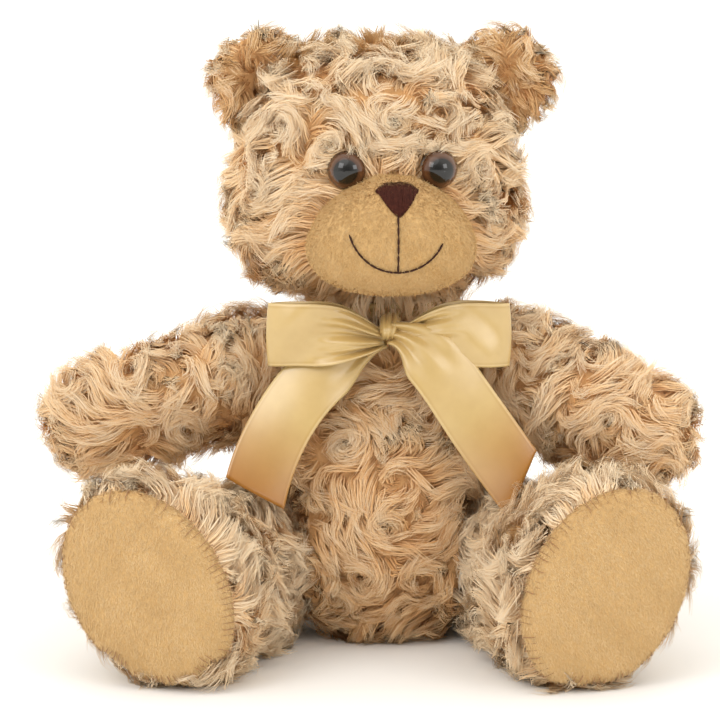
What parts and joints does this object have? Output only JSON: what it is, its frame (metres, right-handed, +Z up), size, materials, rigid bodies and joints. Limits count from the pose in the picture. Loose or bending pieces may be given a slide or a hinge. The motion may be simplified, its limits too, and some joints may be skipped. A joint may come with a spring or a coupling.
{
  "type": "jointed teddy bear",
  "caption": "Sitting plush teddy bear with a turning head, swinging arms and legs on disc joints, and a satin ribbon tied in a bow at its neck.",
  "frame": {"origin": "middle of the seat, on the surface the bear sits on", "axes": "+Z up, the bear faces -Y, the bear's left side is +X"},
  "size_m": [0.2618, 0.1668, 0.2435],
  "materials": {
    "curly_plush": "long curly pile",
    "ear_plush": "long curly pile in shade",
    "smooth_plush": "short smooth pile",
    "stuffing": "matt",
    "brown_thread": "embroidery floss",
    "satin_ribbon": "satin",
    "eye_brown": "glossy",
    "eye_black": "glossy",
    "joint_plastic": "moulded"
  },
  "bodies": {
    "torso": {"torso_panel_left": "curly_plush", "torso_panel_right": "curly_plush", "torso_stuffing": "stuffing", "neck_body_disc": "joint_plastic", "shoulder_body_disc_left": "joint_plastic", "shoulder_body_disc_right": "joint_plastic", "hip_body_disc_left": "joint_plastic", "hip_body_disc_right": "joint_plastic", "ribbon_band": "satin_ribbon", "bow_knot": "satin_ribbon", "bow_loop_left": "satin_ribbon", "bow_loop_right": "satin_ribbon", "bow_tail_left": "satin_ribbon", "bow_tail_right": "satin_ribbon"},
    "head": {"head_side_left": "curly_plush", "head_side_right": "curly_plush", "head_gusset": "curly_plush", "head_stuffing": "stuffing", "muzzle": "smooth_plush", "nose": "brown_thread", "mouth_stitches": "brown_thread", "ear_back_left": "curly_plush", "ear_back_right": "curly_plush", "ear_lining_left": "ear_plush", "ear_lining_right": "ear_plush", "eye_lens_left": "eye_brown", "eye_lens_right": "eye_brown", "eye_pupil_stem_left": "eye_black", "eye_pupil_stem_right": "eye_black", "eye_washer_left": "joint_plastic", "eye_washer_right": "joint_plastic", "neck_stem_disc": "joint_plastic", "neck_lock_ring": "joint_plastic"},
    "arm_left": {"arm_outer_left": "curly_plush", "arm_inner_left": "curly_plush", "arm_stuffing_left": "stuffing", "shoulder_stem_disc_left": "joint_plastic", "shoulder_lock_ring_left": "joint_plastic"},
    "arm_right": {"arm_outer_right": "curly_plush", "arm_inner_right": "curly_plush", "arm_stuffing_right": "stuffing", "shoulder_stem_disc_right": "joint_plastic", "shoulder_lock_ring_right": "joint_plastic"},
    "leg_left": {"leg_outer_left": "curly_plush", "leg_inner_left": "curly_plush", "foot_pad_left": "smooth_plush", "leg_stuffing_left": "stuffing", "hip_stem_disc_left": "joint_plastic", "hip_lock_ring_left": "joint_plastic"},
    "leg_right": {"leg_outer_right": "curly_plush", "leg_inner_right": "curly_plush", "foot_pad_right": "smooth_plush", "leg_stuffing_right": "stuffing", "hip_stem_disc_right": "joint_plastic", "hip_lock_ring_right": "joint_plastic"}
  },
  "joints": [
    {"name": "neck", "type": "hinge", "parent": "torso", "child": "head", "pos_m": [0, 0, 0.14], "axis": [0, 0, 1], "continuous": true},
    {"name": "shoulder_left", "type": "hinge", "parent": "torso", "child": "arm_left", "pos_m": [0.038, -0.005, 0.094], "axis": [-0.7071, 0, -0.7071], "range_deg": [-115, 30]},
    {"name": "shoulder_right", "type": "hinge", "parent": "torso", "child": "arm_right", "pos_m": [-0.038, -0.005, 0.094], "axis": [-0.7071, 0, 0.7071], "range_deg": [-95, 50]},
    {"name": "hip_left", "type": "hinge", "parent": "torso", "child": "leg_left", "pos_m": [0.029, -0.022, 0.031], "axis": [0.9511, 0.309, 0], "range_deg": [0, 90]},
    {"name": "hip_right", "type": "hinge", "parent": "torso", "child": "leg_right", "pos_m": [-0.029, -0.022, 0.031], "axis": [0.9511, -0.309, 0], "range_deg": [0, 90]}
  ]
}
